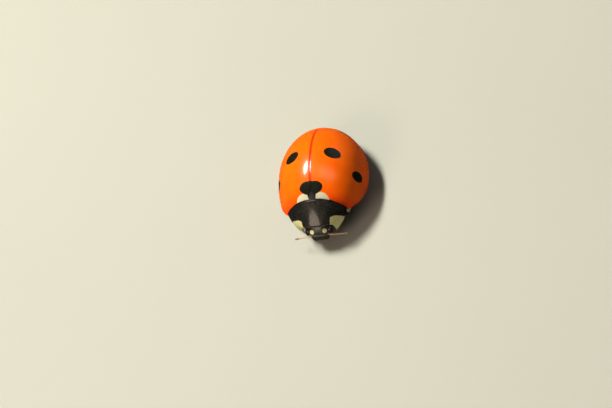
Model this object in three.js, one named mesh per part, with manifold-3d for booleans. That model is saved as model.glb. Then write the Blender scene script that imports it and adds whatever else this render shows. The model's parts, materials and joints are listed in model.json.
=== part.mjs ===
// A seven-spot ladybird at life size, at rest with its legs drawn in under its wing cases.
// Millimetres, +Z up. The head points to -Y and the animal's left side is +X.
// Every shape is laid out from one point: the middle line of the body, where the back is
// widest, at the level of the wing cases' rim. The last lines lift that point onto the feet.

import * as THREE from "three";
import { mergeVertices } from "three/addons/utils/BufferGeometryUtils.js";
import Module from "manifold-3d";

const wasm = await Module();
wasm.setup();

// The back is an oval dome, squarer in front than behind (a fullness of 2 is an ellipse).
const halfWidth = 2.6;
const frontReach = 3.41;
const rearReach = 3.2;
const backHeight = 2.8;
const frontFullness = 2.33;
const rearFullness = 2;

// The wing cases. Their rim climbs forward by rimRise times the square of the distance.
const rimClearance = 0.82;
const rimRise = 0.135;
const wingCaseThickness = 0.5;

// Chest and belly fill the wing cases and hang a little below the rim.
const bellyDepth = 0.14;
const bellyStart = -0.05;
const chestStart = -2.3;

// The pronotum meets the wing cases along a curve, given by its middle and its two corners.
const jointMiddle = -2.34;
const jointCorner = -2.5;
const pronotumHalfWidth = 1.7;
const pronotumThickBehind = 0.3;
const pronotumThickInFront = 0.14;

// The scutellum is the small triangle between the bases of the wing cases.
const scutellumHalfWidth = 0.21;
const scutellumLength = 0.36;
const scutellumDrop = 0.03;

// The head hangs under the front of the pronotum, its face sloping down and out.
const headCentre = vector(0, -3.33, 0.46);
const headRadii = vector(0.72, 0.45, 0.56);
const headSquareness = 2.8;
const faceSlope = THREE.MathUtils.degToRad(45);
const eyeRadii = vector(0.17, 0.2, 0.26);
const lipRadii = vector(0.42, 0.17, 0.16);
const jawRadii = vector(0.17, 0.15, 0.14);
const antennaRadius = 0.2;

// Joints of the left legs. The third number is the height above the floor.
const legs = {
  front: {
    hip: [0.3, -2.15, 0.55],
    knee: [0.98, -2.7, 0.62],
    ankle: [1.05, -2.02, 0.24],
    toe: [1.3, -1.62, 0.18],
  },
  middle: {
    hip: [0.6, -1.2, 0.52],
    knee: [1.95, -1.35, 0.54],
    ankle: [1.78, -0.5, 0.24],
    toe: [2.12, 0, 0.18],
  },
  hind: {
    hip: [0.55, -0.15, 0.52],
    knee: [1.9, 0.5, 0.54],
    ankle: [1.5, 1.6, 0.24],
    toe: [1.7, 2.25, 0.18],
  },
};

// Each segment's radii at its root, its middle and its tip.
const segments = {
  femur: { from: "hip", to: "knee", radii: [0.2, 0.25, 0.21] },
  tibia: { from: "knee", to: "ankle", radii: [0.19, 0.21, 0.21] },
  tarsus: { from: "ankle", to: "toe", radii: [0.19, 0.21, 0.2] },
};

// Pieces that touch on the animal stand this far apart, and cutters reach far past it.
const gap = 0.04;
const far = 8;
const sides = { left: 1, right: -1 };

// ---- helpers ----

function vector(x, y, z) {
  return new THREE.Vector3(x, y, z);
}

function reshape(geometry, move) {
  const position = geometry.attributes.position;
  const point = new THREE.Vector3();
  for (let i = 0; i < position.count; i += 1) {
    point.fromBufferAttribute(position, i);
    const moved = move(point);
    position.setXYZ(i, moved.x, moved.y, moved.z);
  }
  return geometry;
}

function solidOf(geometry) {
  const bare = geometry.clone();
  bare.deleteAttribute("normal");
  bare.deleteAttribute("uv");
  const welded = mergeVertices(bare, 1e-4);
  return new wasm.Manifold(new wasm.Mesh({
    numProp: 3,
    vertProperties: new Float32Array(welded.attributes.position.array),
    triVerts: new Uint32Array(welded.index.array),
  }));
}

function geometryOf(solid) {
  const mesh = solid.getMesh();
  const geometry = new THREE.BufferGeometry();
  geometry.setAttribute("position", new THREE.BufferAttribute(mesh.vertProperties, 3));
  geometry.setIndex(new THREE.BufferAttribute(mesh.triVerts, 1));
  geometry.computeVertexNormals();
  return geometry;
}

function slab(low, high) {
  const size = high.clone().sub(low);
  const middle = low.clone().add(high).multiplyScalar(0.5);
  const box = new THREE.BoxGeometry(size.x, size.y, size.z);
  return solidOf(box.translate(middle.x, middle.y, middle.z));
}

// A plan outline carried from far below the animal to far above it.
function upright(outline, curveSegments) {
  const block = new THREE.ExtrudeGeometry(outline, {
    depth: 2 * far,
    bevelEnabled: false,
    curveSegments,
  });
  return block.translate(0, 0, -far);
}

function rounded(value, fullness) {
  return Math.sign(value) * Math.abs(value) ** (2 / fullness);
}

// A squared-off ellipsoid about its own middle.
function pebble(radii, squareness, around, up) {
  const ball = new THREE.SphereGeometry(1, around, up);
  return reshape(ball, (p) => vector(
    radii.x * rounded(p.x, squareness),
    radii.y * rounded(p.y, squareness),
    radii.z * rounded(p.z, squareness),
  ));
}

// A round limb with blunt ends, from one joint to the next.
function limb(from, to, [rootRadius, middleRadius, tipRadius]) {
  const rings = 6;
  const sidesAround = 8;
  const bluntness = 0.4;
  const length = from.distanceTo(to);
  const outline = [];
  for (let i = 0; i <= rings; i += 1) {
    const angle = (Math.PI * i) / rings;
    const along = (1 - Math.cos(angle)) / 2;
    const taper = THREE.MathUtils.lerp(rootRadius, tipRadius, along);
    const swell = (middleRadius - (rootRadius + tipRadius) / 2) * Math.sin(Math.PI * along);
    const onAxis = i === 0 || i === rings;
    const radius = onAxis ? 0 : (taper + swell) * Math.sin(angle) ** bluntness;
    outline.push(new THREE.Vector2(radius, along * length));
  }
  const axis = to.clone().sub(from).normalize();
  const turn = new THREE.Quaternion().setFromUnitVectors(vector(0, 1, 0), axis);
  const geometry = new THREE.LatheGeometry(outline, sidesAround);
  return geometry.applyQuaternion(turn).translate(from.x, from.y, from.z);
}

// ---- the back ----

// The dome of the back, shrunk by an inset, with a bowl of the given depth under the rim.
function backDome(inset, depth, around, up) {
  const ball = new THREE.SphereGeometry(1, around, up).rotateX(Math.PI / 2);
  return reshape(ball, (p) => {
    const fullness = p.y < 0 ? frontFullness : rearFullness;
    const reach = p.y < 0 ? frontReach : rearReach;
    const spread = Math.hypot(p.x, p.y);
    const cosine = spread > 0 ? p.x / spread : 0;
    const sine = spread > 0 ? p.y / spread : 0;
    return vector(
      (halfWidth - inset) * rounded(cosine, fullness) * spread,
      (reach - inset) * rounded(sine, fullness) * spread,
      (p.z > 0 ? backHeight - inset : depth) * p.z,
    );
  });
}

// All that lies behind the joint between pronotum and wing cases.
function behindJoint(clearance) {
  const middle = jointMiddle + clearance;
  const corner = jointCorner + clearance;
  const outline = new THREE.Shape();
  outline.moveTo(-far, corner);
  outline.lineTo(-pronotumHalfWidth, corner);
  outline.quadraticCurveTo(0, 2 * middle - corner, pronotumHalfWidth, corner);
  outline.lineTo(far, corner);
  outline.lineTo(far, far);
  outline.lineTo(-far, far);
  outline.closePath();
  return solidOf(upright(outline, 16));
}

// All that lies above the rim, which is level behind and a parabola in front.
function aboveRim() {
  const front = 4;
  const outline = new THREE.Shape();
  outline.moveTo(-front, rimRise * front * front);
  outline.quadraticCurveTo(-front / 2, 0, 0, 0);
  outline.lineTo(far, 0);
  outline.lineTo(far, far);
  outline.lineTo(-front, far);
  outline.closePath();
  const acrossBody = new THREE.Matrix4().makeBasis(
    vector(0, 1, 0),
    vector(0, 0, 1),
    vector(1, 0, 0),
  );
  return solidOf(upright(outline, 14).applyMatrix4(acrossBody));
}

function scutellumWedge(clearance) {
  const halfBase = scutellumHalfWidth + clearance;
  const front = jointMiddle + gap - clearance;
  const tip = jointMiddle + gap + scutellumLength + 2 * clearance;
  const waist = (front + tip) / 2;
  const outline = new THREE.Shape();
  outline.moveTo(-halfBase, front);
  outline.lineTo(halfBase, front);
  outline.quadraticCurveTo(halfBase * 0.6, waist, 0, tip);
  outline.quadraticCurveTo(-halfBase * 0.6, waist, -halfBase, front);
  return solidOf(upright(outline, 4));
}

const dome = solidOf(backDome(0, 1, 48, 28));
const wingRoom = solidOf(backDome(wingCaseThickness, 1, 36, 20));
const wingCases = dome.subtract(wingRoom)
  .intersect(behindJoint(gap))
  .intersect(aboveRim())
  .subtract(scutellumWedge(gap));
const leftHalf = slab(vector(gap / 2, -far, -far), vector(far, far, far));
const rightHalf = slab(vector(-far, -far, -far), vector(-gap / 2, far, far));
const scutellum = solidOf(backDome(scutellumDrop, 1, 48, 28))
  .subtract(wingRoom)
  .intersect(slab(vector(-far, -far, 0), vector(far, far, far)))
  .intersect(scutellumWedge(0));

// ---- pronotum ----

// A curved patch. Rows run forward from the hind edge, each from the middle out to the side.
const pronotumRows = [
  [
    [0, jointMiddle, 2.06],
    [pronotumHalfWidth / 3, jointMiddle, 2.04],
    [(2 * pronotumHalfWidth) / 3, (2 * jointMiddle + jointCorner) / 3, 1.96],
    [pronotumHalfWidth, jointCorner, 1.05],
  ],
  [[0, -2.8, 1.75], [0.56, -2.8, 1.75], [1.2, -2.86, 1.5], [1.6, -2.86, 0.75]],
  [[0, -3.27, 1.37], [0.53, -3.27, 1.37], [1.14, -3.12, 1.38], [1.32, -3.16, 0.45]],
  [[0, -3.61, 1.02], [0.5, -3.61, 1.04], [1, -3.36, 1.22], [0.9, -3.38, 0.23]],
];
const pronotumColumns = [0, 1, 2, 3].map((column) => new THREE.CubicBezierCurve3(
  ...pronotumRows.map((row) => vector(...row[column])),
));

function onPronotum(across, forward) {
  const row = pronotumColumns.map((column) => column.getPoint(forward));
  const point = new THREE.CubicBezierCurve3(...row).getPoint(Math.abs(across));
  point.x *= Math.sign(across);
  return point;
}

function pronotumNormal(across, forward) {
  const step = 0.01;
  const right = onPronotum(Math.max(across - step, -1), forward);
  const left = onPronotum(Math.min(across + step, 1), forward);
  const behind = onPronotum(across, Math.max(forward - step, 0));
  const ahead = onPronotum(across, Math.min(forward + step, 1));
  return ahead.sub(behind).cross(left.sub(right)).normalize();
}

function pronotumPlate(extraThickness, overhang) {
  const block = new THREE.BoxGeometry(2, 1, 1, 18, 7, 1);
  return solidOf(reshape(block, (p) => {
    const forward = (0.5 - p.y) * (1 + overhang);
    const thickness = THREE.MathUtils.lerp(pronotumThickBehind, pronotumThickInFront, forward);
    const inward = p.z > 0 ? 0 : thickness + extraThickness;
    return onPronotum(p.x, forward).addScaledVector(pronotumNormal(p.x, forward), -inward);
  }));
}

const pronotum = pronotumPlate(0, 0).subtract(behindJoint(0));
const pronotumRoom = pronotumPlate(gap, 0.08);

// ---- head ----

// A point of the head, given sideways, out from the face and down along the face.
function onHead(sideways, outward, down) {
  const point = vector(sideways, -outward, -down);
  point.applyAxisAngle(vector(1, 0, 0), faceSlope - Math.PI / 2);
  return point.add(headCentre);
}

// A pebble on the head, grown by a clearance and tilted as the face is.
function headPebble(radii, squareness, place, clearance, around, up) {
  const grown = radii.clone().addScalar(clearance);
  const geometry = pebble(grown, squareness, around, up).rotateX(faceSlope - Math.PI / 2);
  return solidOf(geometry.translate(place.x, place.y, place.z));
}

function headCapsule(clearance) {
  return headPebble(headRadii, headSquareness, onHead(0, 0, 0), clearance, 18, 12);
}

function eye(side, clearance) {
  return headPebble(eyeRadii, 2, onHead(side * 0.66, 0.1, 0.03), clearance, 12, 8);
}

function upperLip(clearance) {
  return headPebble(lipRadii, 2.6, onHead(0, 0.33, headRadii.z - 0.08), clearance, 12, 8);
}

function jaw(side, clearance) {
  return headPebble(jawRadii, 2.4, onHead(side * 0.21, -0.08, headRadii.z + 0.06), clearance, 10, 6);
}

function palp(side) {
  const root = onHead(side * 0.38, -0.22, headRadii.z - 0.12);
  const tip = onHead(side * 0.26, -0.38, headRadii.z + 0.14);
  return solidOf(limb(root, tip, [0.13, 0.17, 0.17]));
}

// The feelers reach out sideways from beside the mouth, their tips a little lower.
function antenna(side) {
  const route = new THREE.CatmullRomCurve3([
    vector(side * 0.82, -3.8, 0.33),
    vector(side * 1.05, -3.74, 0.28),
    vector(side * 1.29, -3.69, 0.2),
    vector(side * 1.53, -3.65, 0.11),
  ]);
  const round = new THREE.EllipseCurve(0, 0, antennaRadius, antennaRadius, 0, 2 * Math.PI);
  const section = new THREE.Shape(round.getPoints(8).slice(0, -1));
  return solidOf(new THREE.ExtrudeGeometry(section, { steps: 6, extrudePath: route }));
}

const headRoom = headCapsule(gap);
const eyeRoom = eye(1, gap).add(eye(-1, gap));
const mouthRoom = headRoom.add(upperLip(gap));

// ---- legs ----

function legSegment(pair, side, segmentName, clearance) {
  const segment = segments[segmentName];
  const [from, to] = [segment.from, segment.to].map((joint) => {
    const [x, y, height] = legs[pair][joint];
    return vector(side * x, y, height - rimClearance);
  });
  return solidOf(limb(from, to, segment.radii.map((radius) => radius + clearance)));
}

const aboveFloor = slab(vector(-far, -far, -rimClearance), vector(far, far, far));

// The hollows in the underside that the thighs lie in.
const thighHollows = Object.keys(legs)
  .flatMap((pair) => Object.values(sides).map((side) => legSegment(pair, side, "femur", gap)))
  .reduce((all, hollow) => all.add(hollow));

// ---- trunk ----

const trunkInset = wingCaseThickness + gap;
const trunk = solidOf(backDome(trunkInset, bellyDepth, 28, 12)).subtract(thighHollows);
const chestSpan = slab(vector(-far, chestStart, -far), vector(far, bellyStart - gap, far));
const bellySpan = slab(vector(-far, bellyStart, -far), vector(far, far, far));

// The front of the chest, under the pronotum.
const prothoraxRadii = vector(1.5, 0.42, 0.62);
const prothorax = solidOf(pebble(prothoraxRadii, 2.4, 16, 10).translate(0, -2.66, 0.45))
  .subtract(behindJoint(-gap))
  .subtract(pronotumRoom)
  .subtract(headRoom)
  .subtract(thighHollows);

// The pale plate on each flank of the chest, behind the corner of the pronotum.
const flankRadii = vector(0.17, 0.28, 0.24);
const flankLimit = solidOf(backDome(trunkInset, 0.3, 28, 12)).subtract(thighHollows);

function flankPlate(side, clearance) {
  const grown = flankRadii.clone().addScalar(clearance);
  return solidOf(pebble(grown, 2.2, 10, 8).translate(side * 1.5, -2.1, 0.08));
}

const flankRoom = flankPlate(1, gap).add(flankPlate(-1, gap));

// ---- the assembled animal ----

const finishes = {
  wingCase: { color: 0xd8420c, roughness: 0.25, metalness: 0 },
  black: { color: 0x16130f, roughness: 0.35, metalness: 0 },
  eye: { color: 0x0c0c10, roughness: 0.3, metalness: 0 },
  pale: { color: 0xe6dcb4, roughness: 0.5, metalness: 0 },
  feeler: { color: 0x9a6240, roughness: 0.5, metalness: 0 },
};

const body = new THREE.Group();

function addPart(name, solid, finish) {
  const material = new THREE.MeshStandardMaterial(finishes[finish]);
  const mesh = new THREE.Mesh(geometryOf(solid), material);
  mesh.name = name;
  body.add(mesh);
}

addPart("elytron_left", wingCases.intersect(leftHalf), "wingCase");
addPart("elytron_right", wingCases.intersect(rightHalf), "wingCase");
addPart("scutellum", scutellum, "black");
addPart("pronotum", pronotum, "black");
addPart("prothorax", prothorax, "black");
addPart("chest", trunk.intersect(chestSpan).subtract(flankRoom), "black");
addPart("abdomen", trunk.intersect(bellySpan), "black");
addPart("head", headCapsule(0).subtract(eyeRoom).subtract(pronotumRoom), "black");
addPart("labrum", upperLip(0).subtract(headRoom), "black");

for (const [sideName, side] of Object.entries(sides)) {
  const besideJaw = mouthRoom.add(jaw(side, gap));
  addPart(`mesepimeron_${sideName}`, flankPlate(side, 0).intersect(flankLimit), "pale");
  addPart(`eye_${sideName}`, eye(side, 0).subtract(pronotumRoom), "eye");
  addPart(`mandible_${sideName}`, jaw(side, 0).subtract(mouthRoom), "black");
  addPart(`maxillary_palp_${sideName}`, palp(side).subtract(besideJaw), "feeler");
  addPart(`antenna_${sideName}`, antenna(side), "feeler");
  for (const pair of Object.keys(legs)) {
    const besideThigh = legSegment(pair, side, "femur", gap);
    const besideShin = legSegment(pair, side, "tibia", gap);
    const tibia = legSegment(pair, side, "tibia", 0).subtract(besideThigh);
    const tarsus = legSegment(pair, side, "tarsus", 0).subtract(besideShin);
    addPart(`${pair}_femur_${sideName}`, legSegment(pair, side, "femur", 0), "black");
    addPart(`${pair}_tibia_${sideName}`, tibia, "black");
    addPart(`${pair}_tarsus_${sideName}`, tarsus.intersect(aboveFloor), "black");
  }
}

// The finished frame has the floor at z = 0 and the middle of the animal's length at y = 0.
const bounds = new THREE.Box3().setFromObject(body);
body.position.set(0, -(bounds.min.y + bounds.max.y) / 2, rimClearance);

const ladybird = new THREE.Group();
ladybird.add(body);

export default ladybird;
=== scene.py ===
# %% [markdown]
# # A seven-spot ladybird at life size
# The animal is seven millimetres long and sits with its legs drawn in under its wing cases.
# Every hard plate of a beetle is a separate piece, so each one is modelled here as a piece of its
# own. Numbers that small are awkward in metres, so a piece is modelled in millimetres, about a point
# of the body itself, and is carried into the frame when it is finished.

# %% Load the solids that this model dresses
import json
import math
import random
from functools import partial

import bmesh
import bpy
from mathutils import Matrix, Vector

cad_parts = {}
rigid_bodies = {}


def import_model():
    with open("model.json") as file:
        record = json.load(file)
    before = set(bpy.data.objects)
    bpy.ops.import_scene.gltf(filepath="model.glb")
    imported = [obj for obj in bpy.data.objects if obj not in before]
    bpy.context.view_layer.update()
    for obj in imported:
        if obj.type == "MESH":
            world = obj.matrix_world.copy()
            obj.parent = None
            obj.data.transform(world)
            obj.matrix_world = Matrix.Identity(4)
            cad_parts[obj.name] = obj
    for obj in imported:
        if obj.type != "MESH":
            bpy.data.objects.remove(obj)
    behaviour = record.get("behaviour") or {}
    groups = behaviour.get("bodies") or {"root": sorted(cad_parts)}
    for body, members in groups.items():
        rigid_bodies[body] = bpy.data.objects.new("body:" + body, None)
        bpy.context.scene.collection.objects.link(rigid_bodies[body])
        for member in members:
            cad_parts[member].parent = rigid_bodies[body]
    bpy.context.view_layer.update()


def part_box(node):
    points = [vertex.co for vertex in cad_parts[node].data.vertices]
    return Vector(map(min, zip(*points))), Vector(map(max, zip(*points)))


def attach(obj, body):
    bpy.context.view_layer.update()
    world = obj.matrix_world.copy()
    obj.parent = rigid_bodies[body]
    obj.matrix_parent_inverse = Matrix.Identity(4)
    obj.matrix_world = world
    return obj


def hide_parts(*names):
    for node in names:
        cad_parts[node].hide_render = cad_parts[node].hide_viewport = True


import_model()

# %% [markdown]
# ## The point that everything is measured from
# It lies on the middle line where the back is widest, level with the rim of the wing cases. The
# solids tell where it is: the wing cases reach `rear_reach` behind it and `back_height` above it.

# %% Measure the body's own origin
METRES = 0.001
half_width = 2.6
front_reach = 3.41
rear_reach = 3.2
back_height = 2.8
wing_case_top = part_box("elytron_left")[1] / METRES
origin = Vector((0, wing_case_top.y - rear_reach, wing_case_top.z - back_height))
into_frame = Matrix.Scale(METRES, 4) @ Matrix.Translation(origin)
floor_level = -origin.z
print("body origin, mm:", [round(value, 3) for value in origin])

# %% [markdown]
# ## The camera
# A long lens from nearly twenty centimetres away flattens the animal as a close-up lens does. Three
# angles place it: round the animal, above it, and its own tilt. `clip_start` is small, because a
# camera hides whatever is nearer than that, and this subject is looked at from close by.

# %% Place the camera
camera_around = math.radians(28.986)
camera_above = math.radians(53.937)
camera_tilt = math.radians(-31.14)
camera_distance = 192.9
aim_sideways = -1.076
aim_upwards = -1.254

backwards = Vector((
    math.sin(camera_around) * math.cos(camera_above),
    -math.cos(camera_around) * math.cos(camera_above),
    math.sin(camera_above),
))
camera_turn = (-backwards).to_track_quat("-Z", "Y").to_matrix()
camera_turn = camera_turn @ Matrix.Rotation(camera_tilt, 3, "Z")
camera_place = camera_turn @ Vector((aim_sideways, aim_upwards, camera_distance))

camera_data = bpy.data.cameras.new("camera")
camera_data.lens = 199.3
camera_data.sensor_width = 36
camera_data.clip_start = 0.005
camera_data.clip_end = 5
camera = bpy.data.objects.new("camera", camera_data)
camera.matrix_world = Matrix.Translation(into_frame @ camera_place) @ camera_turn.to_4x4()
bpy.context.scene.collection.objects.link(camera)
bpy.context.scene.camera = camera
print("camera, mm from the body:", round(camera_place.length, 1))

# %% [markdown]
# ## Nodes by name
# A material is a small network. These helpers make one node a line and connect it as it is made: an
# input takes a number, a colour, or another node's output. An output knows the network that it is
# in, so `node` asks it, and the network needn't be handed from helper to helper.

# %% Helpers for materials
def is_output(value):
    return isinstance(value, bpy.types.NodeSocket)


def feed(socket, value):
    """Connects an output to a socket, or sets a plain value on it. A colour is red, green, blue."""
    if is_output(value):
        socket.id_data.links.new(value, socket)
    elif socket.type == "RGBA":
        socket.default_value = (*value, 1.0)
    else:
        socket.default_value = value


def node(kind, inputs, tree=None, **settings):
    if tree is None:
        tree = next(value.id_data for value in inputs.values() if is_output(value))
    made = tree.nodes.new("ShaderNode" + kind)
    for name, value in settings.items():
        setattr(made, name, value)
    for name, value in inputs.items():
        feed(made.inputs[name], value)
    return made


def calc(operation, first, second=0.0, third=0.0):
    return node("Math", {0: first, 1: second, 2: third}, operation=operation).outputs[0]


def mix(share, first, second):
    """The first colour where the share is 0, and the second where it is 1."""
    return node("Mix", {0: share, 6: first, 7: second}, data_type="RGBA").outputs[2]


# %% [markdown]
# ## Patterns that stay where they belong
# Object coordinates are the frame's own metres. One Mapping node turns them back into millimetres
# from the body's origin, so a spot's place in a material is the same number as in the mesh. The
# markings of both sides come from one formula, by taking the sideways distance without its sign.

# %% Helpers for patterns
def body_place(tree):
    place = node("TexCoord", {}, tree).outputs["Object"]
    inputs = {"Vector": place, "Location": -origin, "Scale": (1 / METRES,) * 3}
    return node("Mapping", inputs).outputs[0]


def split(place):
    return node("SeparateXYZ", {0: place}).outputs


def both_sides(place):
    parts = split(place)
    inputs = {0: calc("ABSOLUTE", parts["X"]), 1: parts["Y"], 2: parts["Z"]}
    return node("CombineXYZ", inputs).outputs[0]


def distance_from_zero(place):
    return node("VectorMath", {0: place}, operation="LENGTH").outputs["Value"]


def oval_distance(place, centre, radii, turn=(0, 0, 0)):
    """How far out a point is from an oval's centre: 1 on its edge."""
    angles = [math.radians(angle) for angle in turn]
    inputs = {"Vector": place, "Location": centre, "Rotation": angles, "Scale": radii}
    return distance_from_zero(node("Mapping", inputs, vector_type="TEXTURE").outputs[0])


def between(value, low, high, to_low=0.0, to_high=1.0):
    """Carries a value from one range into another on an easy slope, and holds it at the ends."""
    inputs = {"Value": value, "From Min": low, "From Max": high, "To Min": to_low, "To Max": to_high}
    return node("MapRange", inputs, interpolation_type="SMOOTHSTEP").outputs[0]


def noise(place, scale, detail=2.0):
    return node("TexNoise", {"Vector": place, "Scale": scale, "Detail": detail}).outputs[0]


def uneven(place, scale, low, high, detail=3.0):
    """A value that drifts between two others, as roughness does on any real surface."""
    return between(noise(place, scale, detail), 0.3, 0.7, low, high)


def wander(place, scale, reach):
    """Noise on either side of zero. Added to a distance, it makes the edge of a marking waver."""
    return calc("MULTIPLY_ADD", noise(place, scale, 3.0), reach, -reach / 2)


def cells(place, scale, **settings):
    return node("TexVoronoi", {"Vector": place, "Scale": scale}, **settings).outputs["Distance"]


def pits(place, scale, width):
    """Small round pits strewn over a surface, as a height from 0 in a pit to 1 between them."""
    return between(cells(place, scale), width * 0.35, width)


def pits_in_net(place, scale, width):
    """The same pits on the fine net of lines that black chitin shows from close by."""
    net = between(cells(place, 70.0, feature="DISTANCE_TO_EDGE"), 0.0, 0.08, 0.0, 0.3)
    return calc("ADD", pits(place, scale, width), net)


# %% [markdown]
# ## From patterns to a finish
# Every material of the animal has a colour, an uneven roughness and a relief a few thousandths of a
# millimetre deep. The glossy ones also have numbers for their shine, which are the same all over and
# are set on the shader's own sockets, where an exporter finds them.

# %% Start and finish a material
def new_material(name):
    """A new material, and the place on the body of every point that it covers."""
    material = bpy.data.materials.new(name)
    material.use_nodes = True
    return material, body_place(material.node_tree)


def finish(material, skin, dull, relief, depth, shine=None):
    """Joins a colour, a roughness and a relief, its depth in millimetres, to the shader."""
    sockets = material.node_tree.nodes["Principled BSDF"].inputs
    feed(sockets["Base Color"], skin)
    feed(sockets["Roughness"], dull)
    inputs = {"Height": relief, "Distance": depth * METRES, "Strength": 1.0}
    feed(sockets["Normal"], node("Bump", inputs).outputs[0])
    for name, number in (shine or {}).items():
        sockets[name].default_value = number
    return material


# %% [markdown]
# ## Floor and light
# The studio is a pale floor that sweeps up into a wall all round. It is a flat disc, and its rim is
# extruded step by step along a quarter circle. A shiny animal shows every lamp twice, as light and
# as a reflection, and each looks best from its own place. So the key lamp, high over the animal's
# right side, and a broad lamp in front of it only light. A small lamp beside the first is only seen
# as the clear highlight on the wing cases, and one beside the second as the sheen on the pronotum.
# The soft glow of the sky is only seen in reflections too. The floor isn't seen in them, so it can't
# pale the colours. A weak lamp behind parts the back from the floor.

# %% Build the studio
sweep_start = 260
sweep_radius = 160
sweep_steps = 12
near_floor = 90
far_floor = 320


def floor_material():
    material, place = new_material("pale_floor")
    sockets = material.node_tree.nodes["Principled BSDF"].inputs
    tint = mix(noise(place, 0.04), (0.305, 0.298, 0.262), (0.33, 0.323, 0.288))
    # Painted light: further out the floor is painted paler, standing in for the lamp light that fades
    # with distance.
    far = between(distance_from_zero(place), near_floor, far_floor)
    feed(sockets["Base Color"], mix(far, tint, (0.62, 0.61, 0.56)))
    feed(sockets["Roughness"], 0.75)
    return material


def studio_floor():
    bm = bmesh.new()
    bmesh.ops.create_circle(bm, cap_ends=True, radius=sweep_start, segments=96)
    for step in range(1, sweep_steps + 1):
        angle = step / sweep_steps * math.pi / 2
        rim = [edge for edge in bm.edges if edge.is_boundary]
        grown = bmesh.ops.extrude_edge_only(bm, edges=rim)["geom"]
        ring = [item for item in grown if isinstance(item, bmesh.types.BMVert)]
        radius = sweep_start + sweep_radius * math.sin(angle)
        height = sweep_radius * (1 - math.cos(angle))
        for vert in ring:
            away = Vector((vert.co.x, vert.co.y, 0)).normalized()
            vert.co = away * radius + Vector((0, 0, height))
    bmesh.ops.translate(bm, vec=(0, 0, floor_level), verts=bm.verts)
    bm.transform(into_frame)
    mesh = bpy.data.meshes.new("floor")
    bm.to_mesh(mesh)
    bm.free()
    mesh.shade_smooth()
    mesh.materials.append(floor_material())
    floor = bpy.data.objects.new("floor", mesh)
    bpy.context.scene.collection.objects.link(floor)
    floor.visible_glossy = False


def lamp(name, direction, distance, width, length, power, tint, lights=True, mirrored=True):
    """An oval softbox turned to the body, its length along the animal. Sizes are in millimetres."""
    data = bpy.data.lights.new(name, "AREA")
    data.shape = "ELLIPSE"
    data.size = width * METRES
    data.size_y = length * METRES
    data.energy = power
    data.color = tint
    lit = bpy.data.objects.new(name, data)
    aim = Vector(direction).normalized()
    crossways = Vector((0, 1, 0)).cross(aim).normalized()
    turn = Matrix((crossways, aim.cross(crossways), aim)).transposed()
    lit.matrix_world = Matrix.Translation(into_frame @ (aim * distance)) @ turn.to_4x4()
    lit.visible_diffuse = lights
    lit.visible_glossy = mirrored
    bpy.context.scene.collection.objects.link(lit)


studio_floor()
lamp("key_lamp", (-0.43, 0.22, 0.87), 250, 27, 120, 1.32, (1.0, 1.0, 0.87), mirrored=False)
lamp("glint_lamp", (-0.425, 0.27, 0.87), 250, 36, 84, 1.5, (1.0, 1.0, 0.94), lights=False)
lamp("front_lamp", (-0.46, -0.64, 0.62), 300, 100, 130, 0.36, (1.0, 0.78, 0.62), mirrored=False)
lamp("sheen_lamp", (-0.31, -0.75, 0.58), 300, 88, 88, 0.27, (1.0, 0.81, 0.63), lights=False)
lamp("rear_lamp", (0.6, 0.75, 0.45), 300, 160, 160, 0.06, (1.0, 0.97, 0.92))

sky = bpy.data.worlds.new("sky")
bpy.context.scene.world = sky
sky.use_nodes = True
sky_direction = node("TexCoord", {}, sky.node_tree).outputs["Generated"]
glow = oval_distance(sky_direction, (0.40, 0.10, 0.91), (0.66, 0.30, 0.5))
sky_shade = sky.node_tree.nodes["Background"]
feed(sky_shade.inputs["Color"], (1.0, 0.94, 0.86))
feed(sky_shade.inputs["Strength"], between(glow, 0.25, 1.0, 5.5, 0.05))
sky.cycles_visibility.diffuse = False
bpy.context.scene.view_settings.view_transform = "Standard"

# %% [markdown]
# ## From a bmesh to a piece
# Many plates start as a flat grid, laid over the place where they belong, and then get a thickness.
# Rounder parts start as a ball. A right-hand piece is the left-hand one with its sideways places
# turned round. Each piece ends the same way: the shape goes from millimetres into the frame, the
# piece is told what it rides on and whose finish it has, and the solids it stands for are hidden.

# %% Helpers for pieces
SIDES = {"left": 1, "right": -1}
merge_distance = 0.0005
sharp_edge = math.radians(50)


def lay_grid(bm, columns, rows, place):
    """A flat grid whose points are moved to place(across, along), both from 0 to 1."""
    grid = bmesh.ops.create_grid(bm, x_segments=columns, y_segments=rows, size=0.5)
    for vert in grid["verts"]:
        vert.co = place(vert.co.x + 0.5, vert.co.y + 0.5)


def thicken(bm, thickness):
    """Turns an open sheet into a closed plate."""
    bmesh.ops.solidify(bm, geom=bm.faces[:], thickness=thickness)


def merge_doubles(bm):
    bmesh.ops.remove_doubles(bm, verts=bm.verts, dist=merge_distance)


def close_ball(bm):
    """Merges the points of a squashed ball's poles and turns its faces outwards."""
    merge_doubles(bm)
    bmesh.ops.dissolve_degenerate(bm, edges=bm.edges, dist=merge_distance)
    bmesh.ops.recalc_face_normals(bm, faces=bm.faces)


def piece(name, bm, material, nodes):
    mesh = bpy.data.meshes.new(name)
    bm.transform(into_frame)
    bm.to_mesh(mesh)
    bm.free()
    mesh.shade_smooth()
    mesh.materials.append(material)
    made = bpy.data.objects.new(name, mesh)
    bpy.context.scene.collection.objects.link(made)
    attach(made, "root")
    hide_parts(*nodes)
    print(f"{name}: {len(mesh.polygons)} faces")
    return made


def soften_edges(made, width, segments=3):
    bevel = made.modifiers.new("edge", "BEVEL")
    bevel.width = width * METRES
    bevel.segments = segments
    bevel.limit_method = "ANGLE"
    bevel.angle_limit = sharp_edge


def hair_spots(bm, centre):
    """Where hairs may stand on a closed shell: point, outward direction, place on a globe, area."""
    spots = []
    for face in bm.faces:
        point = face.calc_center_median()
        away = point - centre
        around = math.atan2(away.x, -away.y) / (2 * math.pi) + 0.5
        down = math.acos(away.z / away.length) / math.pi
        spots.append((point, face.normal.copy(), (around, down), face.calc_area()))
    return spots


def on_side(side, place):
    """A place that is given for the left, on the side asked for."""
    return Vector((side * place[0], place[1], place[2]))


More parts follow.
